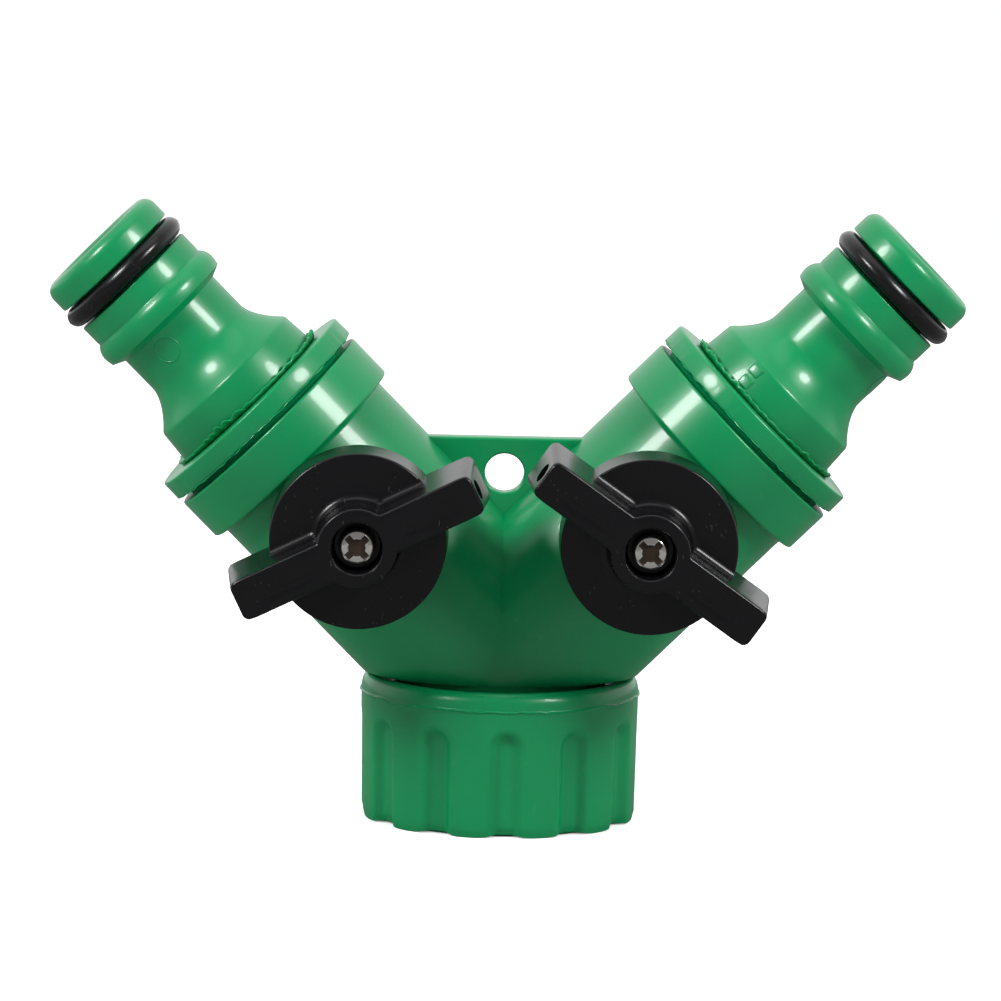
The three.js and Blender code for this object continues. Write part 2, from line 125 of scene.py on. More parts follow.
def new_group(name, inputs, outputs):
    """A shader node group with named sockets. Each input is (name, default)."""
    group = bpy.data.node_groups.new(name, "ShaderNodeTree")
    for label, value in inputs:
        kind = "NodeSocketColor" if isinstance(value, tuple) else "NodeSocketFloat"
        socket = group.interface.new_socket(label, in_out="INPUT", socket_type=kind)
        socket.default_value = value
    for label, kind in outputs:
        group.interface.new_socket(label, in_out="OUTPUT", socket_type=kind)
    return group, group.nodes.new("NodeGroupInput"), group.nodes.new("NodeGroupOutput")


def node(tree, kind, values=None, **settings):
    """Adds a node, with socket values by name or number, and settings of the node itself."""
    made = tree.nodes.new(kind)
    for key, value in settings.items():
        setattr(made, key, value)
    for key, value in (values or {}).items():
        made.inputs[key].default_value = value
    return made


def math_node(tree, operation, a, b, clamp=False):
    """One sum in the node tree. a and b are numbers or sockets."""
    made = node(tree, "ShaderNodeMath", operation=operation, use_clamp=clamp)
    for socket, value in zip(made.inputs, (a, b)):
        if isinstance(value, (int, float)):
            socket.default_value = value
        else:
            tree.links.new(value, socket)
    return made.outputs[0]


# %% [markdown]
# ## Studio
# Glossy plastic shows its lights, so the lights are as much a part of the look as the colour. Two soft
# boxes stand left and right of the camera, each about 52 degrees off to its side and 35 degrees up. A
# pale room fills the rest, and it is dimmer behind the camera, which keeps the green deep where it faces
# us. The floor is pale paper. Glossy pieces would mirror it as a grey veil, so to their reflections it is
# a dark grey, as if the sheet ended just in front of the part. The soft light that it throws up at the
# part comes from a tone in between.

# %% Floor, room and lights
bpy.context.scene.view_settings.view_transform = "Standard"
studio = bpy.data.worlds.new("pale_room")
bpy.context.scene.world = studio
studio.use_nodes = True
room = studio.node_tree
ROOM_BEHIND_CAMERA = 0.18
ROOM_BEHIND_PART = 1.0
direction = node(room, "ShaderNodeTexCoord")
split = node(room, "ShaderNodeSeparateXYZ")
room.links.new(direction.outputs["Generated"], split.inputs[0])
front_to_back = node(
    room, "ShaderNodeMapRange",
    {"From Min": -0.35, "From Max": 0.45, "To Min": ROOM_BEHIND_CAMERA, "To Max": ROOM_BEHIND_PART},
    interpolation_type="SMOOTHSTEP",
)
room.links.new(split.outputs["Y"], front_to_back.inputs["Value"])
seen = node(room, "ShaderNodeLightPath")
paper_white = node(room, "ShaderNodeMix", {3: 1.0})
room.links.new(seen.outputs["Is Camera Ray"], paper_white.inputs[0])
room.links.new(front_to_back.outputs["Result"], paper_white.inputs[2])
room.links.new(paper_white.outputs[0], room.nodes["Background"].inputs["Strength"])
room.nodes["Background"].inputs["Color"].default_value = (1, 1, 1, 1)


def soft_box(name, azimuth, height, distance, size, watts):
    """An area light that faces the middle of the part from a given direction."""
    data = bpy.data.lights.new(name, "AREA")
    data.shape = "ELLIPSE"
    data.size, data.size_y = size
    data.energy = watts
    lamp = bpy.data.objects.new(name, data)
    bpy.context.scene.collection.objects.link(lamp)
    a, h = math.radians(azimuth), math.radians(height)
    away = Vector((math.sin(a) * math.cos(h), -math.cos(a) * math.cos(h), math.sin(h)))
    lamp.matrix_world = (
        Matrix.Translation(CAMERA_AIM + away * distance)
        @ away.to_track_quat("Z", "Y").to_matrix().to_4x4()
    )
    return lamp


BOX_SIZE = (0.32, 0.32)
BOX_WATTS = 11
soft_box("soft_box_right", 52, 35, 1.2, BOX_SIZE, BOX_WATTS)
soft_box("soft_box_left", -56, 37, 1.2, BOX_SIZE, BOX_WATTS)
soft_box("top_light", 0, 80, 1.0, (0.9, 0.5), 1.2)

# %% The paper floor
FLOOR_HALF = 0.7
PAPER_MIRRORED = (0.15, 0.15, 0.15, 1)
PAPER_SEEN = (0.95, 0.95, 0.95, 1)
PAPER_GLOW = 0.36
BOUNCE_SHARE = 0.5
floor_mesh = bpy.data.meshes.new("floor")
bm = bmesh.new()
bmesh.ops.create_grid(bm, x_segments=1, y_segments=1, size=FLOOR_HALF)
bm.to_mesh(floor_mesh)
bm.free()
floor = bpy.data.objects.new("floor", floor_mesh)
bpy.context.scene.collection.objects.link(floor)
paper = bpy.data.materials.new("white_paper")
paper.use_nodes = True
sheet = paper.node_tree
paper_shader = sheet.nodes["Principled BSDF"]
path = node(sheet, "ShaderNodeLightPath")
pale = node(sheet, "ShaderNodeMath", {1: BOUNCE_SHARE}, operation="MULTIPLY_ADD", use_clamp=True)
tone = node(sheet, "ShaderNodeMix", data_type="RGBA")
tone.inputs[6].default_value = PAPER_MIRRORED
tone.inputs[7].default_value = PAPER_SEEN
glow = math_node(sheet, "MULTIPLY", path.outputs["Is Camera Ray"], PAPER_GLOW)
sheet.links.new(path.outputs["Is Diffuse Ray"], pale.inputs[0])
sheet.links.new(path.outputs["Is Camera Ray"], pale.inputs[2])
sheet.links.new(pale.outputs[0], tone.inputs["Factor"])
sheet.links.new(tone.outputs[2], paper_shader.inputs["Base Color"])
sheet.links.new(glow, paper_shader.inputs["Emission Strength"])
paper_shader.inputs["Emission Color"].default_value = (1, 1, 1, 1)
paper_shader.inputs["Roughness"].default_value = 0.9
floor_mesh.materials.append(paper)
print("studio ready")

# %% [markdown]
# ## Finishes
# All the green, black and white pieces are injection moulded, so they share one skin: a very faint
# ripple and a gloss that varies slowly. That skin is a node group with its own sizes in each material.
# Handling leaves fine hairlines and specks, which is a second group. The colour drifts a little too,
# since pigment never spreads quite evenly in the melt, and that is the third.

# %% The moulded skin
skin_group, skin_in, skin_out = new_group(
    "moulded_skin",
    [("Gloss", 0.2), ("Gloss spread", 0.06), ("Ripple size", 300.0), ("Patch size", 60.0)],
    [("Roughness", "NodeSocketFloat"), ("Height", "NodeSocketFloat")],
)
where = node(skin_group, "ShaderNodeTexCoord")
ripple = node(skin_group, "ShaderNodeTexNoise", {"Detail": 2.0, "Roughness": 0.45})
patch = node(skin_group, "ShaderNodeTexNoise", {"Detail": 3.0, "Roughness": 0.6})
for texture, label in ((ripple, "Ripple size"), (patch, "Patch size")):
    skin_group.links.new(where.outputs["Object"], texture.inputs["Vector"])
    skin_group.links.new(skin_in.outputs[label], texture.inputs["Scale"])
uneven = math_node(skin_group, "SUBTRACT", patch.outputs["Fac"], 0.5)
uneven = math_node(skin_group, "MULTIPLY", uneven, skin_in.outputs["Gloss spread"])
gloss = math_node(skin_group, "ADD", uneven, skin_in.outputs["Gloss"], clamp=True)
skin_group.links.new(gloss, skin_out.inputs["Roughness"])
skin_group.links.new(ripple.outputs["Fac"], skin_out.inputs["Height"])

# %% Hairlines and specks
marks_group, marks_in, marks_out = new_group(
    "handling_marks",
    [("Line size", 2600.0), ("Speck size", 900.0), ("Amount", 0.5)],
    [("Mask", "NodeSocketFloat")],
)
where = node(marks_group, "ShaderNodeTexCoord")
stretch = node(marks_group, "ShaderNodeMapping")
stretch.inputs["Rotation"].default_value = (0.3, 0.5, 0.9)
stretch.inputs["Scale"].default_value = (1.0, 0.06, 0.35)
marks_group.links.new(where.outputs["Object"], stretch.inputs["Vector"])
lines = node(marks_group, "ShaderNodeTexNoise", {"Detail": 2.0})
specks = node(marks_group, "ShaderNodeTexVoronoi")
marks_group.links.new(stretch.outputs["Vector"], lines.inputs["Vector"])
marks_group.links.new(where.outputs["Object"], specks.inputs["Vector"])
marks_group.links.new(marks_in.outputs["Line size"], lines.inputs["Scale"])
marks_group.links.new(marks_in.outputs["Speck size"], specks.inputs["Scale"])
worn_patch = node(marks_group, "ShaderNodeTexNoise", {"Scale": 140.0, "Detail": 1.0})
marks_group.links.new(where.outputs["Object"], worn_patch.inputs["Vector"])
worn = math_node(marks_group, "GREATER_THAN", worn_patch.outputs["Fac"], 0.54)
thin_lines = math_node(marks_group, "GREATER_THAN", lines.outputs["Fac"], 0.7)
thin_lines = math_node(marks_group, "MULTIPLY", thin_lines, worn)
few_specks = math_node(marks_group, "LESS_THAN", specks.outputs["Distance"], 0.075)
few_specks = math_node(marks_group, "MULTIPLY", few_specks, worn)
both = math_node(marks_group, "ADD", thin_lines, few_specks, clamp=True)
marked = math_node(marks_group, "MULTIPLY", both, marks_in.outputs["Amount"])
marks_group.links.new(marked, marks_out.inputs["Mask"])

# %% Colour drift in the resin
drift_group, drift_in, drift_out = new_group(
    "resin_drift",
    [("Deep", (0.0, 0.2, 0.08, 1.0)), ("Light", (0.0, 0.3, 0.1, 1.0)), ("Drift size", 45.0)],
    [("Color", "NodeSocketColor")],
)
where = node(drift_group, "ShaderNodeTexCoord")
flow = node(drift_group, "ShaderNodeTexNoise", {"Detail": 4.0, "Roughness": 0.55, "Distortion": 0.6})
blend = node(drift_group, "ShaderNodeMix", data_type="RGBA")
drift_group.links.new(where.outputs["Object"], flow.inputs["Vector"])
drift_group.links.new(drift_in.outputs["Drift size"], flow.inputs["Scale"])
drift_group.links.new(flow.outputs["Fac"], blend.inputs["Factor"])
drift_group.links.new(drift_in.outputs["Deep"], blend.inputs[6])
drift_group.links.new(drift_in.outputs["Light"], blend.inputs[7])
drift_group.links.new(blend.outputs[2], drift_out.inputs["Color"])
print("groups:", sorted(g.name for g in bpy.data.node_groups))


# %% A maker for the moulded materials
def moulded(name, deep, light, gloss, spread, ripple_mm, depth_mm, marks, marks_tint):
    """A moulded plastic or rubber: drifted colour, uneven gloss, faint ripple, handling marks."""
    material = bpy.data.materials.new(name)
    material.use_nodes = True
    tree = material.node_tree
    shader = tree.nodes["Principled BSDF"]
    skin = node(tree, "ShaderNodeGroup", node_tree=skin_group)
    skin.inputs["Gloss"].default_value = gloss
    skin.inputs["Gloss spread"].default_value = spread
    skin.inputs["Ripple size"].default_value = 1 / (ripple_mm * MM)
    drift = node(tree, "ShaderNodeGroup", node_tree=drift_group)
    drift.inputs["Deep"].default_value = deep
    drift.inputs["Light"].default_value = light
    handled = node(tree, "ShaderNodeGroup", node_tree=marks_group)
    handled.inputs["Amount"].default_value = marks
    tinted = node(tree, "ShaderNodeMix", data_type="RGBA")
    tree.links.new(handled.outputs["Mask"], tinted.inputs["Factor"])
    tree.links.new(drift.outputs["Color"], tinted.inputs[6])
    tinted.inputs[7].default_value = marks_tint
    tree.links.new(tinted.outputs[2], shader.inputs["Base Color"])
    rougher = math_node(tree, "MULTIPLY", handled.outputs["Mask"], 0.3)
    rough = math_node(tree, "ADD", skin.outputs["Roughness"], rougher, clamp=True)
    tree.links.new(rough, shader.inputs["Roughness"])
    bump = node(tree, "ShaderNodeBump", {"Strength": 0.6, "Distance": depth_mm * MM})
    tree.links.new(skin.outputs["Height"], bump.inputs["Height"])
    tree.links.new(bump.outputs["Normal"], shader.inputs["Normal"])
    return material, shader


# %% [markdown]
# The green is a glossy plastic with a little light spreading under its skin, which softens its shadows,
# and a thin clear sheen on top. The handles are satin black, marked by fingers and packing. The rubber
# is a touch duller, the inner plastic is plain off-white, and the screws are bright plated steel.

# %% The five finishes
green, green_shader = moulded(
    "glossy_green_plastic", (0.0, 0.188, 0.06, 1), (0.0, 0.262, 0.086, 1), gloss=0.34, spread=0.08,
    ripple_mm=2.2, depth_mm=0.012, marks=0.05, marks_tint=(0.25, 0.5, 0.35, 1),
)
green_shader.inputs["Subsurface Weight"].default_value = 0.25
green_shader.inputs["Subsurface Radius"].default_value = (0.3, 1.0, 0.5)
green_shader.inputs["Subsurface Scale"].default_value = 0.0012
green_shader.inputs["IOR"].default_value = 1.42
green_shader.inputs["Coat Weight"].default_value = 0.2
green_shader.inputs["Coat Roughness"].default_value = 0.1
black, black_shader = moulded(
    "satin_black_plastic", (0.002, 0.002, 0.0025, 1), (0.004, 0.004, 0.005, 1), gloss=0.26, spread=0.08,
    ripple_mm=0.8, depth_mm=0.01, marks=0.16, marks_tint=(0.1, 0.1, 0.1, 1),
)
black_shader.inputs["IOR"].default_value = 1.36
rubber, rubber_shader = moulded(
    "black_rubber", (0.003, 0.003, 0.0035, 1), (0.005, 0.005, 0.006, 1), gloss=0.24, spread=0.15,
    ripple_mm=0.5, depth_mm=0.01, marks=0.2, marks_tint=(0.05, 0.05, 0.05, 1),
)
rubber_shader.inputs["IOR"].default_value = 1.4
white, _ = moulded(
    "white_inner_plastic", (0.62, 0.61, 0.56, 1), (0.72, 0.71, 0.66, 1), gloss=0.3, spread=0.06,
    ripple_mm=1.5, depth_mm=0.008, marks=0.1, marks_tint=(0.4, 0.38, 0.34, 1),
)
plated, plated_shader = moulded(
    "bright_plated_steel", (0.8, 0.78, 0.74, 1), (0.92, 0.9, 0.87, 1), gloss=0.16, spread=0.1,
    ripple_mm=0.4, depth_mm=0.004, marks=0.4, marks_tint=(0.3, 0.24, 0.18, 1),
)
plated_shader.inputs["Metallic"].default_value = 1.0
FINISH = {
    "green_body": green,
    "black_handle": black,
    "black_rubber": rubber,
    "white_inner": white,
    "bright_screw": plated,
}
print("finishes:", [m.name for m in FINISH.values()])

# %% [markdown]
# ## Ways to make a shape
# Nearly every piece here was turned in a mould cavity, so most of them start as an outline that is spun
# round an axis. Real moulds have no sharp corners: softened() puts a small arc in each corner, which is
# what catches the light. A warp function can then push the surface in and out for flutes and flash.

# %% Outlines and spinning


def softened(corners, closed=True, steps=4):
    """Outline points from corners (radius, height, rounding), with an arc at each rounded corner."""
    count = len(corners)
    points = []
    for i, corner in enumerate(corners):
        here = Vector(corner[:2])
        rounding = corner[2] if len(corner) > 2 else 0
        if rounding <= 0 or (not closed and i in (0, count - 1)):
            points.append(here)
            continue
        before = (Vector(corners[i - 1][:2]) - here).normalized()
        after = (Vector(corners[(i + 1) % count][:2]) - here).normalized()
        half = before.angle(after) / 2
        start, end = here + before * rounding / math.tan(half), here + after * rounding / math.tan(half)
        centre = here + (before + after).normalized() * rounding / math.sin(half)
        a, b = start - centre, end - centre
        sweep = math.pi - 2 * half
        for k in range(steps + 1):
            t = k / steps
            mix = (a * math.sin((1 - t) * sweep) + b * math.sin(t * sweep)) / math.sin(sweep)
            points.append(centre + mix)
    return [(p.x, p.y) for p in points]


def spun(outline, columns=160, closed=True, warp=None):
    """A bmesh spun about +Z from an outline of (radius, height). warp(r, z, angle) may move points."""
    bm = bmesh.new()
    rows = []
    for k in range(columns):
        angle = 2 * math.pi * k / columns
        row = []
        for r, z in outline:
            if warp is not None:
                r, z = warp(r, z, angle)
            row.append(bm.verts.new((r * math.cos(angle), r * math.sin(angle), z)))
        rows.append(row)
    for k in range(columns):
        a, b = rows[k], rows[(k + 1) % columns]
        for i in range(len(outline) if closed else len(outline) - 1):
            j = (i + 1) % len(outline)
            bm.faces.new((a[i], b[i], b[j], a[j]))
    bmesh.ops.remove_doubles(bm, verts=bm.verts, dist=1e-6)
    bmesh.ops.recalc_face_normals(bm, faces=bm.faces)
    return bm


def block(size, at=(0, 0, 0)):
    """A plain block about a point."""
    bm = bmesh.new()
    bmesh.ops.create_cube(bm, size=1)
    bmesh.ops.scale(bm, vec=size, verts=bm.verts)
    bmesh.ops.translate(bm, vec=at, verts=bm.verts)
    return bm


def wobble(angle, seed, rate=1.0, height=0.0):
    """Smooth noise round a circle, from about -1 to 1, the same on every run."""
    return noise.noise(Vector((rate * math.cos(angle), rate * math.sin(angle), seed + height)))


def ramp(value, low, high):
    """0 below low, 1 above high, and a smooth slope between."""
    t = min(1.0, max(0.0, (value - low) / (high - low)))
    return t * t * (3 - 2 * t)


# %% Pieces, cuts and joins
PIECES = []


def solid(name, bm, place=Matrix.Identity(4)):
    """Turns a bmesh into an object, still in millimetres: joins and cuts are surest at that scale."""
    mesh = bpy.data.meshes.new(name)
    bmesh.ops.transform(bm, matrix=place, verts=bm.verts)
    bm.to_mesh(mesh)
    bm.free()
    made = bpy.data.objects.new(name, mesh)
    bpy.context.scene.collection.objects.link(made)
    return made


def combine(base, tool, operation):
    """Joins a tool to a solid or cuts it out, and removes the tool."""
    step = base.modifiers.new(operation, "BOOLEAN")
    step.operation = operation
    step.solver = "EXACT"
    step.object = tool
    bpy.context.view_layer.update()
    done = bpy.data.meshes.new_from_object(base.evaluated_get(bpy.context.evaluated_depsgraph_get()))
    base.modifiers.clear()
    base.data = done
    bpy.data.objects.remove(tool)
    return base


def even_shading(piece):
    """Lets each large face keep its own direction, so that a cut beside it leaves no dark smear."""
    step = piece.modifiers.new("even_shading", "WEIGHTED_NORMAL")
    step.keep_sharp = True
    bpy.context.view_layer.update()
    done = bpy.data.meshes.new_from_object(piece.evaluated_get(bpy.context.evaluated_depsgraph_get()))
    piece.modifiers.clear()
    piece.data = done


def finish_piece(piece, slot, body, stands_for, sharp=32, place=Matrix.Identity(4), joined=False):
    """Sets the piece in its place in metres, with smooth shading and crisp corners, its finish, the
    body it rides on, and the CAD nodes it stands for."""
    mesh = piece.data
    mesh.transform(Matrix.Scale(MM, 4) @ place)
    mesh.polygons.foreach_set("use_smooth", [True] * len(mesh.polygons))
    mesh.set_sharp_from_angle(angle=math.radians(sharp))
    if joined:
        even_shading(piece)
        mesh = piece.data
    mesh.materials.clear()
    mesh.materials.append(FINISH[slot])
    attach(piece, body)
    if stands_for:
        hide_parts(*stands_for)
    PIECES.append(piece.name)
    print(piece.name, "faces", len(mesh.polygons))
    return piece


# %% [markdown]
# ## Housing
# The green body is one moulding: two barrels that cross above the inlet, a wider collar at the end of
# each, a boss under each handle, a thin web with a hanging hole, and the spigot that the nut turns on.
# Each of these is spun or pushed out on its own and joined, then the waterways are cut out. Spinning
# keeps the long barrels smooth, which a single block of clay-like mesh wouldn't.

# %% Housing sizes
BODY_FOOT_Z = 16.78
NECK = (12.05, 15.55)
SPIGOT_R = 11.85
SNAP_R = 12.95
SNAP_Z = (11.2, 12.7)
BARREL_R = 12.15
COLLAR_R = 13.55
COLLAR_S = (33.1, 38.6)
BOSS_R = 8.3
BOSS_FRONT = 13.7
TAB_T = 2.4
TAB_TOP_Z = 44.05
TAB_HOLE_Z = 39.95
TAB_HOLE_R = 2.25
TAB_ROOT = 5.0
TAB_EDGE = 0.28
HOLE_STEPS = 48


def barrel():
    """One arm's barrel and collar about +Z, with rows along it that keep its faces even."""
    along = [(BARREL_R, s) for s in np.linspace(0, 31, 16)]
    return spun(softened([
        (0, 0), *along, (BARREL_R, COLLAR_S[0], 0.5), (COLLAR_R, COLLAR_S[0], 0.35),
        (COLLAR_R, COLLAR_S[1], 0.3), (0, COLLAR_S[1]),
    ], closed=False), closed=False)


def crossing():
    """Where the two barrels meet, a ball of their own radius closes the corner under them."""
    r = BARREL_R - 0.004
    outline = [(r * math.sin(a), -r * math.cos(a)) for a in np.linspace(0, math.pi, 61)]
    return spun(outline, closed=False)


def boss():
    """The round boss under a handle, about the axis of its stem."""
    return spun(softened([(0, 6), (BOSS_R, 6), (BOSS_R, BOSS_FRONT, 0.3), (0, BOSS_FRONT)], closed=False),
                columns=96, closed=False)


def ring_sector(r_in, r_out, centre, half, z_low, z_high, steps=14):
    """A block bent round an axis, used for the stops and the lugs that limit a handle."""
    bm = bmesh.new()
    rows = []
    for k in range(steps + 1):
        a = centre - half + 2 * half * k / steps
        ring = ((r_in, z_low), (r_out, z_low), (r_out, z_high), (r_in, z_high))
        rows.append([bm.verts.new((r * math.cos(a), r * math.sin(a), z)) for r, z in ring])
    for a, b in zip(rows, rows[1:]):
        for i in range(4):
            bm.faces.new((a[i], a[(i + 1) % 4], b[(i + 1) % 4], b[i]))
    bm.faces.new(rows[0])
    bm.faces.new(rows[-1])
    bmesh.ops.recalc_face_normals(bm, faces=bm.faces)
    return bm


# %% The web with its hanging hole
def hanging_web():
    """A flat outline with a hole, pushed out both ways, with a small rounding on every edge."""
    half = TAB_TOP_Z - CROSS_Z - BARREL_R * math.sqrt(2) + TAB_ROOT
    curve = bpy.data.curves.new("web_outline", "CURVE")
    curve.dimensions = "2D"
    curve.fill_mode = "BOTH"
    curve.bevel_depth = TAB_EDGE
    curve.bevel_resolution = 2
    curve.extrude = TAB_T / 2 - TAB_EDGE
    edge = curve.splines.new("POLY")
    edge.points.add(2)
    edge.use_cyclic_u = True
    corners = ((-half, TAB_TOP_Z - TAB_EDGE), (half, TAB_TOP_Z - TAB_EDGE), (0, TAB_TOP_Z - half))
    for point, (x, z) in zip(edge.points, corners):
        point.co = (x, z, 0, 1)
    hole = curve.splines.new("POLY")
    hole.points.add(HOLE_STEPS - 1)
    hole.use_cyclic_u = True
    for k, point in enumerate(hole.points):
        a = -2 * math.pi * k / HOLE_STEPS
        r = TAB_HOLE_R + TAB_EDGE
        point.co = (r * math.cos(a), TAB_HOLE_Z + r * math.sin(a), 0, 1)
    holder = bpy.data.objects.new("web_outline", curve)
    bpy.context.scene.collection.objects.link(holder)
    bpy.context.view_layer.update()
    mesh = bpy.data.meshes.new_from_object(holder.evaluated_get(bpy.context.evaluated_depsgraph_get()))
    bpy.data.objects.remove(holder)
    bm = bmesh.new()
    bm.from_mesh(mesh)
    bmesh.ops.remove_doubles(bm, verts=bm.verts, dist=1e-4)
    bmesh.ops.recalc_face_normals(bm, faces=bm.faces)
    return bm


# %% Join the outside
WEB_PLACE = Matrix.Translation((0, AXIS_Y, 0)) @ Matrix.Rotation(math.pi / 2, 4, "X")
housing = solid("housing_body", barrel(), arm_place("left"))
combine(housing, solid("tool", barrel(), arm_place("right")), "UNION")
for side in SIDES:
    combine(housing, solid("tool", boss(), valve_place(side)), "UNION")

combine(housing, solid("tool", crossing(), Matrix.Translation((0, AXIS_Y, CROSS_Z))), "UNION")
CUT_BLOCK = 80
below = block([CUT_BLOCK] * 3, (0, AXIS_Y, BODY_FOOT_Z - CUT_BLOCK / 2))
combine(housing, solid("tool", below), "DIFFERENCE")
print("barrels joined:", len(housing.data.vertices), "points")

# %% Round the foot and add the spigot and the web
bm = bmesh.new()
bm.from_mesh(housing.data)
foot_edges = [
    e for e in bm.edges if all(abs(v.co.z - BODY_FOOT_Z) < 0.01 for v in e.verts)
    and sum(f.normal.z < -0.9 for f in e.link_faces) == 1
]
bmesh.ops.bevel(bm, geom=foot_edges, offset=0.1, segments=2, profile=0.5, affect="EDGES")
bm.to_mesh(housing.data)
bm.free()
print("foot edges rounded:", len(foot_edges))

spigot = spun(softened([
    (0, SNAP_Z[0]), (SNAP_R - 0.7, SNAP_Z[0]), (SNAP_R, SNAP_Z[0] + 0.7, 0.2), (SNAP_R, SNAP_Z[1], 0.2),
    (SPIGOT_R, SNAP_Z[1], 0.2), (SPIGOT_R, NECK[1], 0.1), (NECK[0], NECK[1], 0.08),
    (NECK[0], BODY_FOOT_Z + 0.2), (0, BODY_FOOT_Z + 0.2),
], closed=False), closed=False)
combine(housing, solid("tool", spigot, NUT_PLACE), "UNION")
combine(housing, solid("tool", hanging_web(), WEB_PLACE), "UNION")

# %% Cut the waterways
INLET_R = 7.5
BRANCH_R = 5.2
CHAMBER = (9.0, 14.6)
MOUTH = (11.4, 34.6)
STEM_FLANGE = (5.5, 10.8)
STEM_HOLE_R = 4.0
STOP = {"r_in": 5.9, "r_out": BOSS_R - 0.05, "half": math.radians(24.5), "top": 16.7}


def waterway():
    """The room inside an arm: branch bore, ball chamber and the wider mouth for the cap."""
    return spun([
        (0, 0), (BRANCH_R, 0), (BRANCH_R, CHAMBER[1]), (CHAMBER[0], CHAMBER[1]), (CHAMBER[0], MOUTH[1]),
        (MOUTH[0], MOUTH[1]), (MOUTH[0], COLLAR_S[1] + 1), (0, COLLAR_S[1] + 1),
    ], columns=96, closed=False)


def stem_hole():
    """The hole through a boss, wide inside for the stem's flange."""
    wide, deep = STEM_FLANGE
    return spun([
        (0, 0), (wide, 0), (wide, deep), (STEM_HOLE_R, deep), (STEM_HOLE_R, BOSS_FRONT + 1),
        (0, BOSS_FRONT + 1),
    ], columns=64, closed=False)


inlet = spun([(0, 10), (INLET_R, 10), (INLET_R, CROSS_Z), (0, CROSS_Z + 4.5)], columns=96, closed=False)
combine(housing, solid("tool", inlet, NUT_PLACE), "DIFFERENCE")
for side in SIDES:
    combine(housing, solid("tool", waterway(), arm_place(side)), "DIFFERENCE")
    combine(housing, solid("tool", stem_hole(), valve_place(side)), "DIFFERENCE")
    for centre in (0, math.pi):
        stop = ring_sector(STOP["r_in"], STOP["r_out"], centre, STOP["half"], BOSS_FRONT - 0.5, STOP["top"])
        combine(housing, solid("tool", stop, valve_place(side)), "UNION")
finish_piece(housing, "green_body", "housing", ["y_housing"], joined=True)

# %% [markdown]
# ## Swivel nut
# The nut is gripped by hand, so it has twelve soft flutes that are open at the foot and run out round
# at the top. Where the two halves of its mould meet, a thin ragged line of flash stands out all round.
# Inside is a real helical thread. One grid, spun and then warped, can hold all three, and the
# columns of the grid stay straight, so the gloss runs cleanly down each flute.

# %% Nut sizes and outline
NUT_R = 16.0
NUT_TOP = 16.6
FLASH_Z = 14.6
FLUTES = 12
FLUTE_TOP_Z = 12.5
FLUTE_HALF = (0.9, 2.2)
FLUTE_DEEP = 0.9
NUT_TURN = math.radians(2.8)
THREAD_MAJOR_R = 13.22
THREAD_TOOTH = 1.16
THREAD_PITCH = 1.814
THREAD_Z = (1.3, 7.2)
SOCKET_R = 13.5
LIP_R = 12.2
FLASH_PROUD = 0.18

outer = [(NUT_R, z) for z in np.arange(1.0, 13.6, 0.42)]
flash = [(NUT_R, FLASH_Z + dz) for dz in (-0.6, -0.35, -0.18, -0.08, 0.0, 0.08, 0.18, 0.35)]
shoulder = [(14.95 + 1.0 * math.sin(a), 15.15 + 1.45 * math.cos(a)) for a in np.linspace(1.45, 0, 8)]
lip = softened([
    (14.6, NUT_TOP), (14.25, NUT_TOP, 0.2), (13.9, 15.4, 0.2), (LIP_R, 15.3, 0.2), (LIP_R, 13.0, 0.2),
    (SOCKET_R, 13.0),
], closed=False)[1:]
thread_rows = [(THREAD_MAJOR_R, z) for z in np.arange(8.2, 0.9, -0.14)]
foot = softened([(13.3, 0.8), (13.85, 0, 0.15), (15.8, 0, 0.12), (15.9, 0.5)], closed=False)
nut_outline = outer + flash + shoulder + lip + [(SOCKET_R, 8.4)] + thread_rows + foot
print("nut outline points:", len(nut_outline))


# %% Flutes, flash and thread as one warp
def across_flute(angle):
    """The distance along the nut's outside from the middle of the nearest flute, in millimetres."""
    pitch = 2 * math.pi / FLUTES
    return NUT_R * ((angle - NUT_TURN + math.pi / 2 + pitch / 2) % pitch - pitch / 2)


def flute_depth(z, angle):
    """How deep the nearest flute is at a point on the outside, in millimetres."""
    reach = math.hypot(across_flute(angle), max(0.0, z - (FLUTE_TOP_Z - FLUTE_HALF[1])))
    return FLUTE_DEEP * (1 - ramp(reach, *FLUTE_HALF))


def nut_warp(r, z, angle):
    """Sinks the flutes and scallops the foot, raises the flash, and winds the thread."""
    if r > 15.5 and z < FLASH_Z - 0.1:
        taper = 0.2 * (1 - z / FLASH_Z)
        deep = flute_depth(z, angle)
        r -= taper + deep
        if z < 0.9:
            z += 0.32 * (1 - ramp(abs(across_flute(angle)), 0.3, 3.6))
    if r > 15.9 and abs(z - FLASH_Z) < 0.7:
        near = 1 - ramp(abs(z - FLASH_Z), 0.0, 0.12)
        ragged = FLASH_PROUD + 0.1 * max(0.0, wobble(angle, 3.0, 9.0)) + 0.05 * wobble(angle, 8.0, 30.0)
        r += near * max(0.03, ragged)
        stray = 0.24 * wobble(angle, 5.0, 5.0) + 0.12 * wobble(angle, 6.0, 17.0)
        z += (1 - ramp(abs(z - FLASH_Z), 0.2, 0.7)) * stray
    if abs(r - THREAD_MAJOR_R) < 0.01:
        along = (z - THREAD_Z[0]) / THREAD_PITCH
        fade = ramp(z, 0.9, 1.9) * (1 - ramp(z, 7.2, 8.0))
        phase = abs((along - angle / (2 * math.pi)) % 1 - 0.5) * 2
        r -= THREAD_TOOTH * fade * ramp(1 - phase, 0.35, 0.85)
    return r, z


nut = solid("nut_body", spun(nut_outline, columns=FLUTES * 30, warp=nut_warp), NUT_PLACE)
finish_piece(nut, "green_body", "nut", ["swivel_nut"], sharp=50)

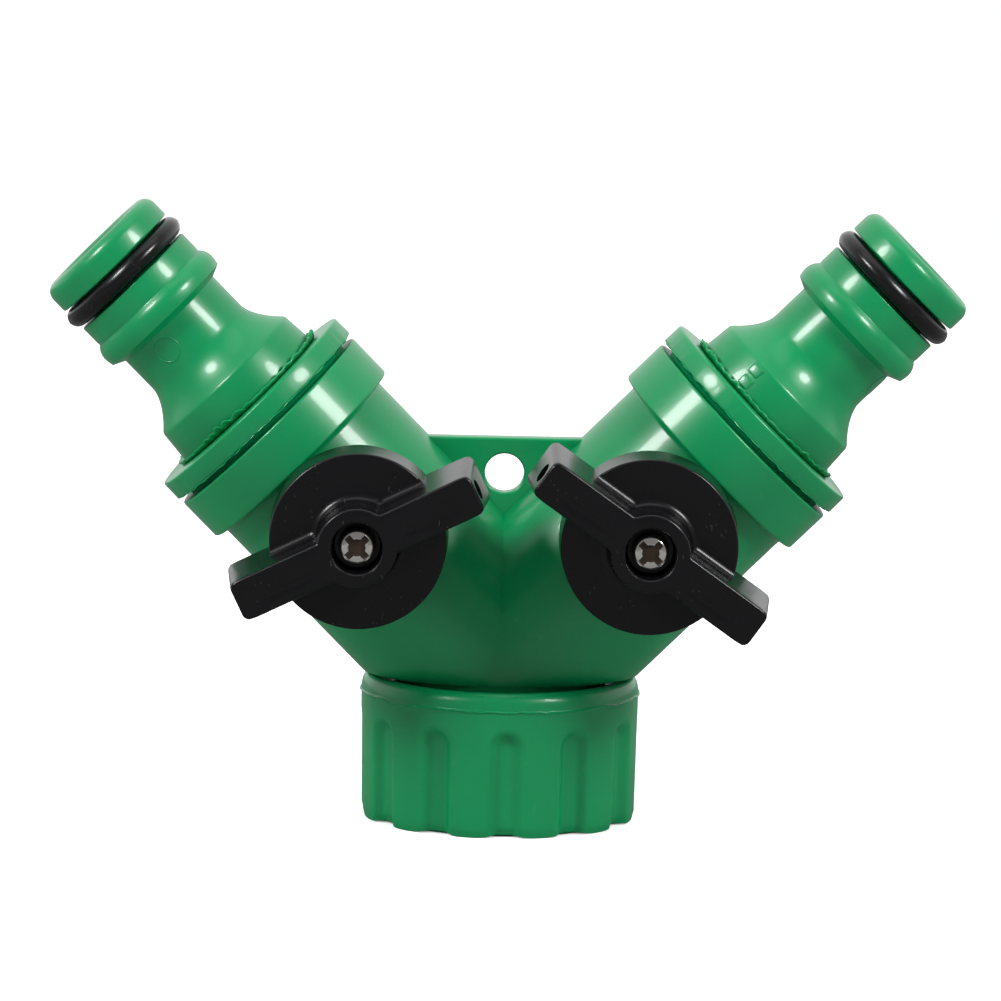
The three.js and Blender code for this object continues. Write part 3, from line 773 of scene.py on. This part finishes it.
# %% [markdown]
# ## Washer
# The washer is punched from sheet rubber, so its faces are flat and its edges nearly square. It is
# seen from below, deep in the nut, and a spun block is all it needs.

# %% Washer
WASHER_R = (7.6, 13.0)
WASHER_Z = (8.5, 10.9)
washer = solid("washer", spun(softened([
    (WASHER_R[0], WASHER_Z[0], 0.15), (WASHER_R[1], WASHER_Z[0], 0.25),
    (WASHER_R[1], WASHER_Z[1], 0.25), (WASHER_R[0], WASHER_Z[1], 0.15),
]), columns=96), NUT_PLACE)
finish_piece(washer, "black_rubber", "nut", ["hose_washer"])

# %% [markdown]
# ## End caps and nipples
# Each cap closes a barrel and is spun onto it until the plastic melts, so a little of it squeezes out.
# The nipple is welded to the cap in the same way: a curled, scalloped bead stands round its foot. The
# caps and nipples are turned shapes, and the flash is a thin ring of its own with a noisy edge.

# %% End caps
CAP_R = 13.65
CAP_S = (39.4, 41.7)
CAP_BORE_R = 4.8
CAP_SOCKET_R = 7.3
CAP_PLUG_R = 11.1


def cap_warp(seed):
    """The cap's rim is a little out of round, and its rear edge is torn by the weld."""
    def warp(r, z, angle):
        if r > 13.3:
            r += 0.05 * wobble(angle, seed, 2.0)
            if z < CAP_S[0] + 0.5:
                r += 0.14 * max(0.0, wobble(angle, seed + 2, 14.0)) - 0.02
                z -= 0.18 * max(0.0, wobble(angle, seed + 4, 18.0))
        return r, z
    return warp


def cap_outline():
    return softened([
        (CAP_BORE_R, 31.6), (8.7, 31.6), (8.7, 34.9), (CAP_PLUG_R, 34.9), (CAP_PLUG_R, CAP_S[0]),
        (CAP_R, CAP_S[0], 0.12), (CAP_R, CAP_S[1], 0.3), (CAP_SOCKET_R, CAP_S[1]), (CAP_SOCKET_R, 34.0),
        (CAP_BORE_R, 34.0),
    ])


for side, turn in SIDES.items():
    cap = solid(f"{side}_cap", spun(cap_outline(), columns=240, warp=cap_warp(turn * 11.0)), arm_place(side))
    finish_piece(cap, "green_body", "housing", [f"{side}_end_cap"])


# %% [markdown]
# ## Weld flash
# Spin welding leaves two marks: a torn fin in the gap behind each cap, and a scalloped bead round the
# foot of each nipple. Both are rings with a noisy edge. The noise is fixed by a seed for each side, so
# the two arms differ and every run gives the same ones.

# %% Weld flash in the gap behind each cap and round each nipple's foot
def gap_flash(seed):
    """The bottom of the gap between collar and cap, with a torn fin along the cap's rear edge."""
    def warp(r, z, angle):
        torn = 0.6 * wobble(angle, seed, 10.0) + 0.4 * wobble(angle, seed + 5, 28.0)
        if r > 13.4:
            r += 0.22 * torn
            z += 0.16 * wobble(angle, seed + 9, 16.0)
        return r, z
    return spun([
        (11.3, 38.5), (12.0, 38.5), (12.05, 38.85), (12.5, 39.18), (13.45, 39.24), (13.64, 39.3),
        (13.62, 39.38), (13.4, 39.5), (11.3, 39.5),
    ], columns=360, warp=warp)


def weld_bead(seed):
    """The scalloped bead that curls out from under the nipple."""
    def warp(r, z, angle):
        scallop = abs(math.sin(angle * 24 + 2.5 * wobble(angle, seed, 2.0)))
        grown = 0.25 + 0.75 * ramp(wobble(angle, seed + 3, 1.3), -0.3, 0.4)
        rise = grown * (0.15 + 0.85 * math.sqrt(scallop)) * (0.8 + 0.5 * wobble(angle, seed + 6, 9.0))
        lift = ramp(r, 10.0, 10.6)
        z += 0.75 * rise * lift
        r += 0.3 * rise * lift * (0.6 + wobble(angle, seed + 8, 12.0))
        return r, z
    return spun([
        (9.7, 41.65), (10.3, 41.66), (10.62, 41.8), (10.72, 42.02), (10.66, 42.12), (10.5, 42.0),
        (10.2, 41.95), (9.7, 42.05),
    ], columns=432, warp=warp)


for side, turn in SIDES.items():
    torn = solid(f"{side}_gap_flash", gap_flash(turn * 21.0), arm_place(side))
    finish_piece(torn, "green_body", "housing", [], sharp=50)
    bead = solid(f"{side}_weld_bead", weld_bead(turn * 31.0), arm_place(side))
    finish_piece(bead, "green_body", "housing", [], sharp=60)

# %% [markdown]
# ## Nipples
# A snap-in nipple has a fixed pattern, from the foot up: a base, a waist that flares into it, a catch
# ring that the connector's balls snap behind, a sleeve, the groove of the O-ring, and a rounded tip.
# One outline holds all of it, in places along the arm.

# %% Nipple outline
WAIST_R = 6.95
WAIST_S = (50.3, 54.85)
SLEEVE_R = 7.85
GROOVE_R = 5.8
GROOVE_S = (60.9, 63.7)
TIP_R = 8.0
TIP_S = 67.0
BORE_R = 4.6
BASE_FRONT = (9.68, 45.8)
FLARE_POWER = 1.7


def flare_points(steps=16):
    """The waist opens out to the base, more and more steeply."""
    wider, longer = BASE_FRONT[0] - WAIST_R, WAIST_S[0] - BASE_FRONT[1]
    return [
        (WAIST_R + wider * out ** FLARE_POWER, WAIST_S[0] - longer * out)
        for out in np.linspace(1, 0, steps + 1)
    ]


def nipple_outline():
    """The nipple from its spigot inside the cap to the tip, as one closed outline."""
    base = softened([
        (BORE_R, 34.3), (7.0, 34.3), (7.0, 42.0), (10.0, 42.0, 0.1), (*BASE_FRONT, 0.7), flare_points()[3],
    ], closed=False)[:-1]
    catch = softened([
        (WAIST_R, 53.0), (WAIST_R, WAIST_S[1], 0.15), (8.36, 55.5, 0.1), (8.5, 56.3),
    ], closed=False)[1:]
    bulge = [
        (8.52, 56.7), (8.47, 57.1), (8.32, 57.5), (8.1, 57.85), (7.88, 58.08), (7.8, 58.2), (7.82, 58.35),
    ]
    tip = softened([
        (SLEEVE_R, 58.6), (SLEEVE_R, GROOVE_S[0], 0.2), (GROOVE_R, GROOVE_S[0], 0.3),
        (GROOVE_R, GROOVE_S[1], 0.3), (TIP_R, GROOVE_S[1], 0.25), (TIP_R, TIP_S, 1.45), (BORE_R, TIP_S, 1.7),
        (BORE_R, 60.0),
    ], closed=False, steps=8)
    return base + flare_points()[3:] + catch + bulge + tip


def mould_seam(r, z, angle):
    """A seam line stands a few hundredths proud along both sides of the nipple."""
    if r > 5.7 and z > 42:
        beside = abs((angle + math.pi / 2) % math.pi - math.pi / 2)
        r += 0.05 * (1 - ramp(beside * r, 0.0, 0.3))
    return r, z


# %% [markdown]
# ## Marks of the mould
# Ejector pins push the nipples out of their mould and leave a fine ring on the waist. The right base
# also carries two low pads. They stand so little proud that only their rims catch the light, but they
# are real shapes, since a painted mark would not turn with the light.

# %% Ejector rings and pads
RING_STEPS = 64
RING_SECTION = ((-0.14, -0.1), (-0.07, 0.035), (0.0, 0.055), (0.07, 0.035), (0.14, -0.1))
PAD_SIZE = (0.6, 1.7, 1.5)
PAD_SUNK = 0.21


def round_mark(radius, s, degrees, size=1.45):
    """A fine raised ring that an ejector pin leaves on a round surface."""
    bm = bmesh.new()
    around = []
    for k in range(RING_STEPS):
        t = 2 * math.pi * k / RING_STEPS
        loop = []
        for out, lift in RING_SECTION:
            a = math.radians(degrees) + (size + out) * math.cos(t) / radius
            r = radius + lift
            loop.append(bm.verts.new((r * math.cos(a), r * math.sin(a), s + (size + out) * math.sin(t))))
        around.append(loop)
    count = len(RING_SECTION)
    for k in range(RING_STEPS):
        a, b = around[k], around[(k + 1) % RING_STEPS]
        for i in range(count):
            bm.faces.new((a[i], a[(i + 1) % count], b[(i + 1) % count], b[i]))
    bmesh.ops.recalc_face_normals(bm, faces=bm.faces)
    return bm


def low_pad(radius, s, degrees):
    """A small rounded pad that stands a tenth of a millimetre proud of the base."""
    bm = block(PAD_SIZE)
    bmesh.ops.bevel(bm, geom=bm.edges[:], offset=0.28, segments=4, profile=0.5, affect="EDGES")
    a = math.radians(degrees)
    bmesh.ops.rotate(bm, matrix=Matrix.Rotation(a, 3, "Z"), verts=bm.verts)
    r = radius - PAD_SUNK
    bmesh.ops.translate(bm, vec=(r * math.cos(a), r * math.sin(a), s), verts=bm.verts)
    return bm


marks = {
    "left_ejector_mark": ("left", round_mark(WAIST_R, 52.7, -106)),
    "right_ejector_mark": ("right", round_mark(WAIST_R, 53.2, -18)),
    "right_low_pad_rear": ("right", low_pad(9.93, 43.1, -119)),
    "right_low_pad_front": ("right", low_pad(9.8, 44.8, -120)),
}
for mark_name, (side, shape) in marks.items():
    finish_piece(solid(mark_name, shape, arm_place(side)), "green_body", "housing", [], sharp=60)

# %% Spin the nipples and their O-rings
ORING_AT = (7.3, 62.3)
ORING_CORD_R = 1.2
ORING_STEPS = 24
ORING_SEAM = 0.04

for side in SIDES:
    nipple = spun(nipple_outline(), columns=192, warp=mould_seam)
    nipple = solid(f"{side}_nipple_body", nipple, arm_place(side))
    finish_piece(nipple, "green_body", "housing", [f"{side}_nipple"], sharp=40)
    ring = []
    for k, a in enumerate(np.linspace(0, 2 * math.pi, ORING_STEPS, endpoint=False)):
        proud = ORING_SEAM if k in (0, ORING_STEPS // 2) else 0
        out, up = ORING_CORD_R * math.cos(a), ORING_CORD_R * math.sin(a)
        ring.append((ORING_AT[0] + out + proud, ORING_AT[1] + up))
    oring = solid(f"{side}_oring", spun(ring, columns=160), arm_place(side))
    finish_piece(oring, "black_rubber", "housing", [f"{side}_nipple_oring"], sharp=60)

# %% [markdown]
# ## Handles
# A handle is a thick disc with a bar across it. The bar's walls lean a little so that it leaves the
# mould, and they run into the disc with a fillet. The disc, the bar and the fillet are separate solids
# that are joined; the fillet is a stack of outlines, each a little wider than the one above, trimmed
# where the disc ends.

# %% Handle sizes
KNOB_R = (10.15, 9.95)
KNOB_Z = (14.0, 20.6)
BAR_FACE = 26.0
BAR_HALF = (14.75, 2.35)
BAR_LEAN = 0.55
BAR_CORNER = 0.9
FACE_EDGE = 0.32
HUB_R = 4.45
HUB_BLEND = 0.35
FILLET = 1.1
FILLET_START = 0.2


def bar_outline(offset):
    """The outline of bar and hub together, pushed out by offset, as points round the middle."""
    half_x, half_y = BAR_HALF[0] + offset, BAR_HALF[1] + offset
    hub = HUB_R + offset
    points = []
    for k in range(360):
        a = math.radians(k)
        c, s = abs(math.cos(a)), abs(math.sin(a))
        r = min(half_x / max(c, 1e-6), half_y / max(s, 1e-6))
        x, y = r * c, r * s
        if x > half_x - BAR_CORNER and y > half_y - BAR_CORNER:
            cx, cy = half_x - BAR_CORNER, half_y - BAR_CORNER
            b, q = c * cx + s * cy, cx * cx + cy * cy - BAR_CORNER * BAR_CORNER
            r = b + math.sqrt(max(0.0, b * b - q))
        h = min(1.0, max(0.0, 0.5 + 0.5 * (r - hub) / HUB_BLEND))
        r = hub * (1 - h) + r * h + HUB_BLEND * h * (1 - h)
        points.append((r * math.cos(a), r * math.sin(a)))
    return points


def stacked(levels):
    """A solid skinned over outlines at rising heights: (outline, z) pairs."""
    bm = bmesh.new()
    rings = [[bm.verts.new((x, y, z)) for x, y in outline] for outline, z in levels]
    for low, high in zip(rings, rings[1:]):
        for i in range(len(low)):
            j = (i + 1) % len(low)
            bm.faces.new((low[i], low[j], high[j], high[i]))
    for ring, z in ((rings[0], levels[0][1]), (rings[-1], levels[-1][1])):
        middle = bm.verts.new((0, 0, z))
        for i in range(len(ring)):
            bm.faces.new((ring[i], ring[(i + 1) % len(ring)], middle))
    bmesh.ops.recalc_face_normals(bm, faces=bm.faces)
    return bm


# %% The bar with its rounded face edge
def bar():
    """The bar and hub, leaning in towards the face, with a rounded edge round it."""
    depth = BAR_FACE - KNOB_Z[0]
    levels = []
    for t in (0.0, 0.3, 0.6, 0.85, 0.95):
        lean = BAR_LEAN * (1 - t)
        levels.append((bar_outline(lean), KNOB_Z[0] + depth * t))
    for a in np.linspace(0.2, math.pi / 2, 5):
        inward, down = FACE_EDGE * (1 - math.cos(a)), FACE_EDGE * (1 - math.sin(a))
        levels.append((bar_outline(-inward), BAR_FACE - down))
    return stacked(levels)


def bar_fillet():
    """The rounded corner between the bar's walls and the disc."""
    levels = [(bar_outline(FILLET_START + FILLET), KNOB_Z[1] - 0.4)]
    for a in np.linspace(0, math.pi / 2, 7):
        out = FILLET_START + FILLET * (1 - math.sin(a))
        levels.append((bar_outline(out), KNOB_Z[1] + FILLET * (1 - math.cos(a))))
    return stacked(levels)


def disc():
    """The round plate of the handle, which covers its boss."""
    return spun(softened([
        (0, KNOB_Z[0]), (KNOB_R[0], KNOB_Z[0], 0.25), (KNOB_R[1], KNOB_Z[1], 0.3), (0, KNOB_Z[1]),
    ], closed=False), columns=180, closed=False)


# %% [markdown]
# ## Pockets of a handle
# Behind, a ring-shaped pocket holds the stops, and a square socket takes the stem. In front, the hub is
# bored for the screw. Each end of the bar has an oval pocket that saves plastic, and the face has sunk
# a little where it is thickest.

# %% Pockets and holes of a handle
POCKET_R = (5.6, 8.7)
POCKET_Z = (13, 17)
SQUARE = (5.2, 5.2, 6.9)
SQUARE_Z = 16.45
END_POCKET = {"half": (1.15, 2.1), "z": 22.9, "x": (14.5, 16.0), "steps": 32}
SINK_HALF = (6.4, 1.15, 0.5)


def stop_pocket():
    """The ring-shaped room behind the disc, in which the stops and lugs meet."""
    (near, far), (low, high) = POCKET_R, POCKET_Z
    return spun([(near, low), (far, low), (far, high), (near, high)], columns=96)


def screw_recess():
    """The bore in the hub: a narrow hole for the screw and a wide one for its head."""
    return spun(softened([
        (0, 19), (1.55, 19), (1.55, 22.6), (2.7, 22.6, 0.2), (2.9, 25.85, 0.25), (3.3, 26.2), (0, 26.2),
    ], closed=False), columns=96, closed=False)


def square_socket():
    """The square hole that the stem drives."""
    return block(SQUARE, (0, 0, SQUARE_Z))


# %% Pockets in the bar's ends and sink marks on its face
def end_pocket(end):
    """A shallow oval pocket in one end of the bar."""
    half_y, half_z = END_POCKET["half"]
    round_it = np.linspace(0, 2 * math.pi, END_POCKET["steps"], endpoint=False)
    outline = [(half_y * math.cos(a), END_POCKET["z"] + half_z * math.sin(a)) for a in round_it]
    bm = bmesh.new()
    near, far = ([bm.verts.new((end * x, y, z)) for y, z in outline] for x in END_POCKET["x"])
    for i in range(len(outline)):
        j = (i + 1) % len(outline)
        bm.faces.new((near[i], near[j], far[j], far[i]))
    bm.faces.new(near)
    bm.faces.new(far)
    bmesh.ops.recalc_face_normals(bm, faces=bm.faces)
    return bm


def sink_mark(along):
    """A long shallow dish where the thick plastic shrank as it cooled."""
    bm = bmesh.new()
    bmesh.ops.create_uvsphere(bm, u_segments=64, v_segments=32, radius=1)
    bmesh.ops.scale(bm, vec=SINK_HALF, verts=bm.verts)
    bmesh.ops.translate(bm, vec=(along, -0.75, BAR_FACE + 0.42), verts=bm.verts)
    return bm


# %% Build both handles
LUG = {"r_in": 5.5, "r_out": 8.8, "half": math.radians(20), "z": (14.0, 17.1)}
TRIM_R = 9.9

for side in SIDES:
    handle = solid(f"{side}_handle", disc())
    fillet = solid("tool", bar_fillet())
    trim = spun([(0, 19), (TRIM_R, 19), (TRIM_R, 24), (0, 24)], columns=180, closed=False)
    trim = solid("tool", trim)
    combine(fillet, trim, "INTERSECT")
    combine(handle, fillet, "UNION")
    combine(handle, solid("tool", bar()), "UNION")
    for end in (-1, 1):
        combine(handle, solid("tool", end_pocket(end)), "DIFFERENCE")
        combine(handle, solid("tool", sink_mark(end * 8.6)), "DIFFERENCE")
    combine(handle, solid("tool", screw_recess()), "DIFFERENCE")
    combine(handle, solid("tool", stop_pocket()), "DIFFERENCE")
    combine(handle, solid("tool", square_socket()), "DIFFERENCE")
    for centre in (math.pi / 2, -math.pi / 2):
        lug = ring_sector(LUG["r_in"], LUG["r_out"], centre, LUG["half"], *LUG["z"])
        combine(handle, solid("tool", lug), "UNION")
    finish_piece(handle, "black_handle", f"{side}_valve", [f"{side}_knob"], sharp=30,
                 place=valve_place(side, handle_angle[side]), joined=True)

# %% [markdown]
# ## Screws
# A small pan-head screw holds each handle. Its cross recess is two tapered slots round a wider middle,
# and the head has a domed edge, so it sparkles in a ring. A second piece with a dark brown, rougher
# finish fills the cross to just under the rim: it is painted shade on the floor of the recess.

# %% Screw shapes
SCREW_R = 1.25
SCREW_TIP_Z = 13.4
HEAD_R = 1.95
HEAD_Z = (23.7, 25.22)
SLOT_LENGTH = (2.6, 3.45)
SLOT_WIDTH = (0.6, 0.85)
SLOT_Z = (23.8, 25.6)
SLOT_TURNS = (math.pi / 4, 3 * math.pi / 4)
RECESS_FILL_Z = 24.82


def screw_body():
    """Point, shank and domed head about the screw's axis."""
    return spun(softened([
        (0, SCREW_TIP_Z), (0.6, SCREW_TIP_Z), (SCREW_R, SCREW_TIP_Z + 1.0), (SCREW_R, HEAD_Z[0]),
        (HEAD_R, HEAD_Z[0], 0.12), (HEAD_R, 24.75), (1.93, 24.85), (1.87, 24.94), (1.72, 25.04),
        (1.5, 25.13), (1.2, 25.19), (0, HEAD_Z[1]),
    ], closed=False), columns=64, closed=False)


def cross_slot(turn):
    """One tapered slot of the cross recess."""
    bm = block((1, 1, 1))
    for v in bm.verts:
        top = int(v.co.z > 0)
        v.co.x *= SLOT_LENGTH[top]
        v.co.y *= SLOT_WIDTH[top]
        v.co.z = SLOT_Z[top]
    bmesh.ops.rotate(bm, matrix=Matrix.Rotation(turn, 3, "Z"), verts=bm.verts)
    return bm


def cross_middle():
    """The wide middle of the cross, where the driver's core sits."""
    return spun([(0, 23.6), (0.5, 23.9), (1.02, 25.3), (0, 25.3)], columns=32, closed=False)


# %% Painted shade for the recess
# A dark brown, rougher steel that paints shade onto the floor of the cross recess.
painted_recess_shade = bpy.data.materials.new("painted_shade_recess_steel")
painted_recess_shade.use_nodes = True
painted_recess_shade_shader = painted_recess_shade.node_tree.nodes["Principled BSDF"]
painted_recess_shade_shader.inputs["Metallic"].default_value = 0.7
painted_recess_shade_shader.inputs["Roughness"].default_value = 0.5
recess_shade_tone = node(painted_recess_shade.node_tree, "ShaderNodeGroup", node_tree=drift_group)
recess_shade_tone.inputs["Deep"].default_value = (0.018, 0.012, 0.008, 1)
recess_shade_tone.inputs["Light"].default_value = (0.07, 0.048, 0.035, 1)
recess_shade_tone.inputs["Drift size"].default_value = 900
painted_recess_shade.node_tree.links.new(recess_shade_tone.outputs["Color"], painted_recess_shade_shader.inputs["Base Color"])
print("recess finish:", painted_recess_shade.name)

# %% Cut the crosses and fill them with painted shade
for side in SIDES:
    screw = solid(f"{side}_screw", screw_body())
    combine(screw, solid("tool", cross_middle()), "DIFFERENCE")
    # This fill piece carries the painted shade of the recess, a dark layer just under the rim.
    deep = solid(f"{side}_screw_recess", cross_middle())
    for turn in SLOT_TURNS:
        combine(screw, solid("tool", cross_slot(turn)), "DIFFERENCE")
        combine(deep, solid("tool", cross_slot(turn)), "UNION")
    below_rim = spun([(0, 23.0), (3, 23.0), (3, RECESS_FILL_Z), (0, RECESS_FILL_Z)], closed=False)
    combine(deep, solid("tool", below_rim), "INTERSECT")
    finish_piece(screw, "bright_screw", f"{side}_valve", [f"{side}_knob_screw"], place=valve_place(side))
    finish_piece(deep, "bright_screw", f"{side}_valve", [], place=valve_place(side))
    deep.data.materials.clear()
    deep.data.materials.append(painted_recess_shade)

# %% [markdown]
# ## Valve insides
# Looking down a nipple one sees the ball, so it is made round and smooth, with its bore. The seats,
# stems and stem seals sit deep inside: their CAD shapes are right and only take their finish.

# %% Balls
BALL_R = 8.4
BALL_BORE_R = 4.6
STEM_SLOT = (20, 2.6, 3)

for side in SIDES:
    arc = [(BALL_R * math.sin(a), -BALL_R * math.cos(a)) for a in np.linspace(0, math.pi, 49)]
    ball = solid(f"{side}_ball", spun(arc, columns=96, closed=False))
    bore = spun([(0, -10), (BALL_BORE_R, -10), (BALL_BORE_R, 10), (0, 10)], columns=64, closed=False)
    combine(ball, solid("tool", bore, Matrix.Rotation(math.pi / 2, 4, "Y")), "DIFFERENCE")
    combine(ball, solid("tool", block(STEM_SLOT, (0, 0, BALL_R))), "DIFFERENCE")
    finish_piece(ball, "white_inner", f"{side}_valve", [f"{side}_valve_ball"],
                 place=valve_place(side, handle_angle[side]))

# %% Finishes on the CAD pieces that stay
kept = {"inner_seat": "white_inner", "outer_seat": "white_inner", "valve_stem": "white_inner",
        "stem_oring": "black_rubber"}
for side in SIDES:
    for part, slot_name in kept.items():
        cad_piece = frame["nodes"][f"{side}_{part}"]
        cad_piece.data.materials.clear()
        cad_piece.data.materials.append(FINISH[slot_name])
print("pieces made:", len(PIECES))
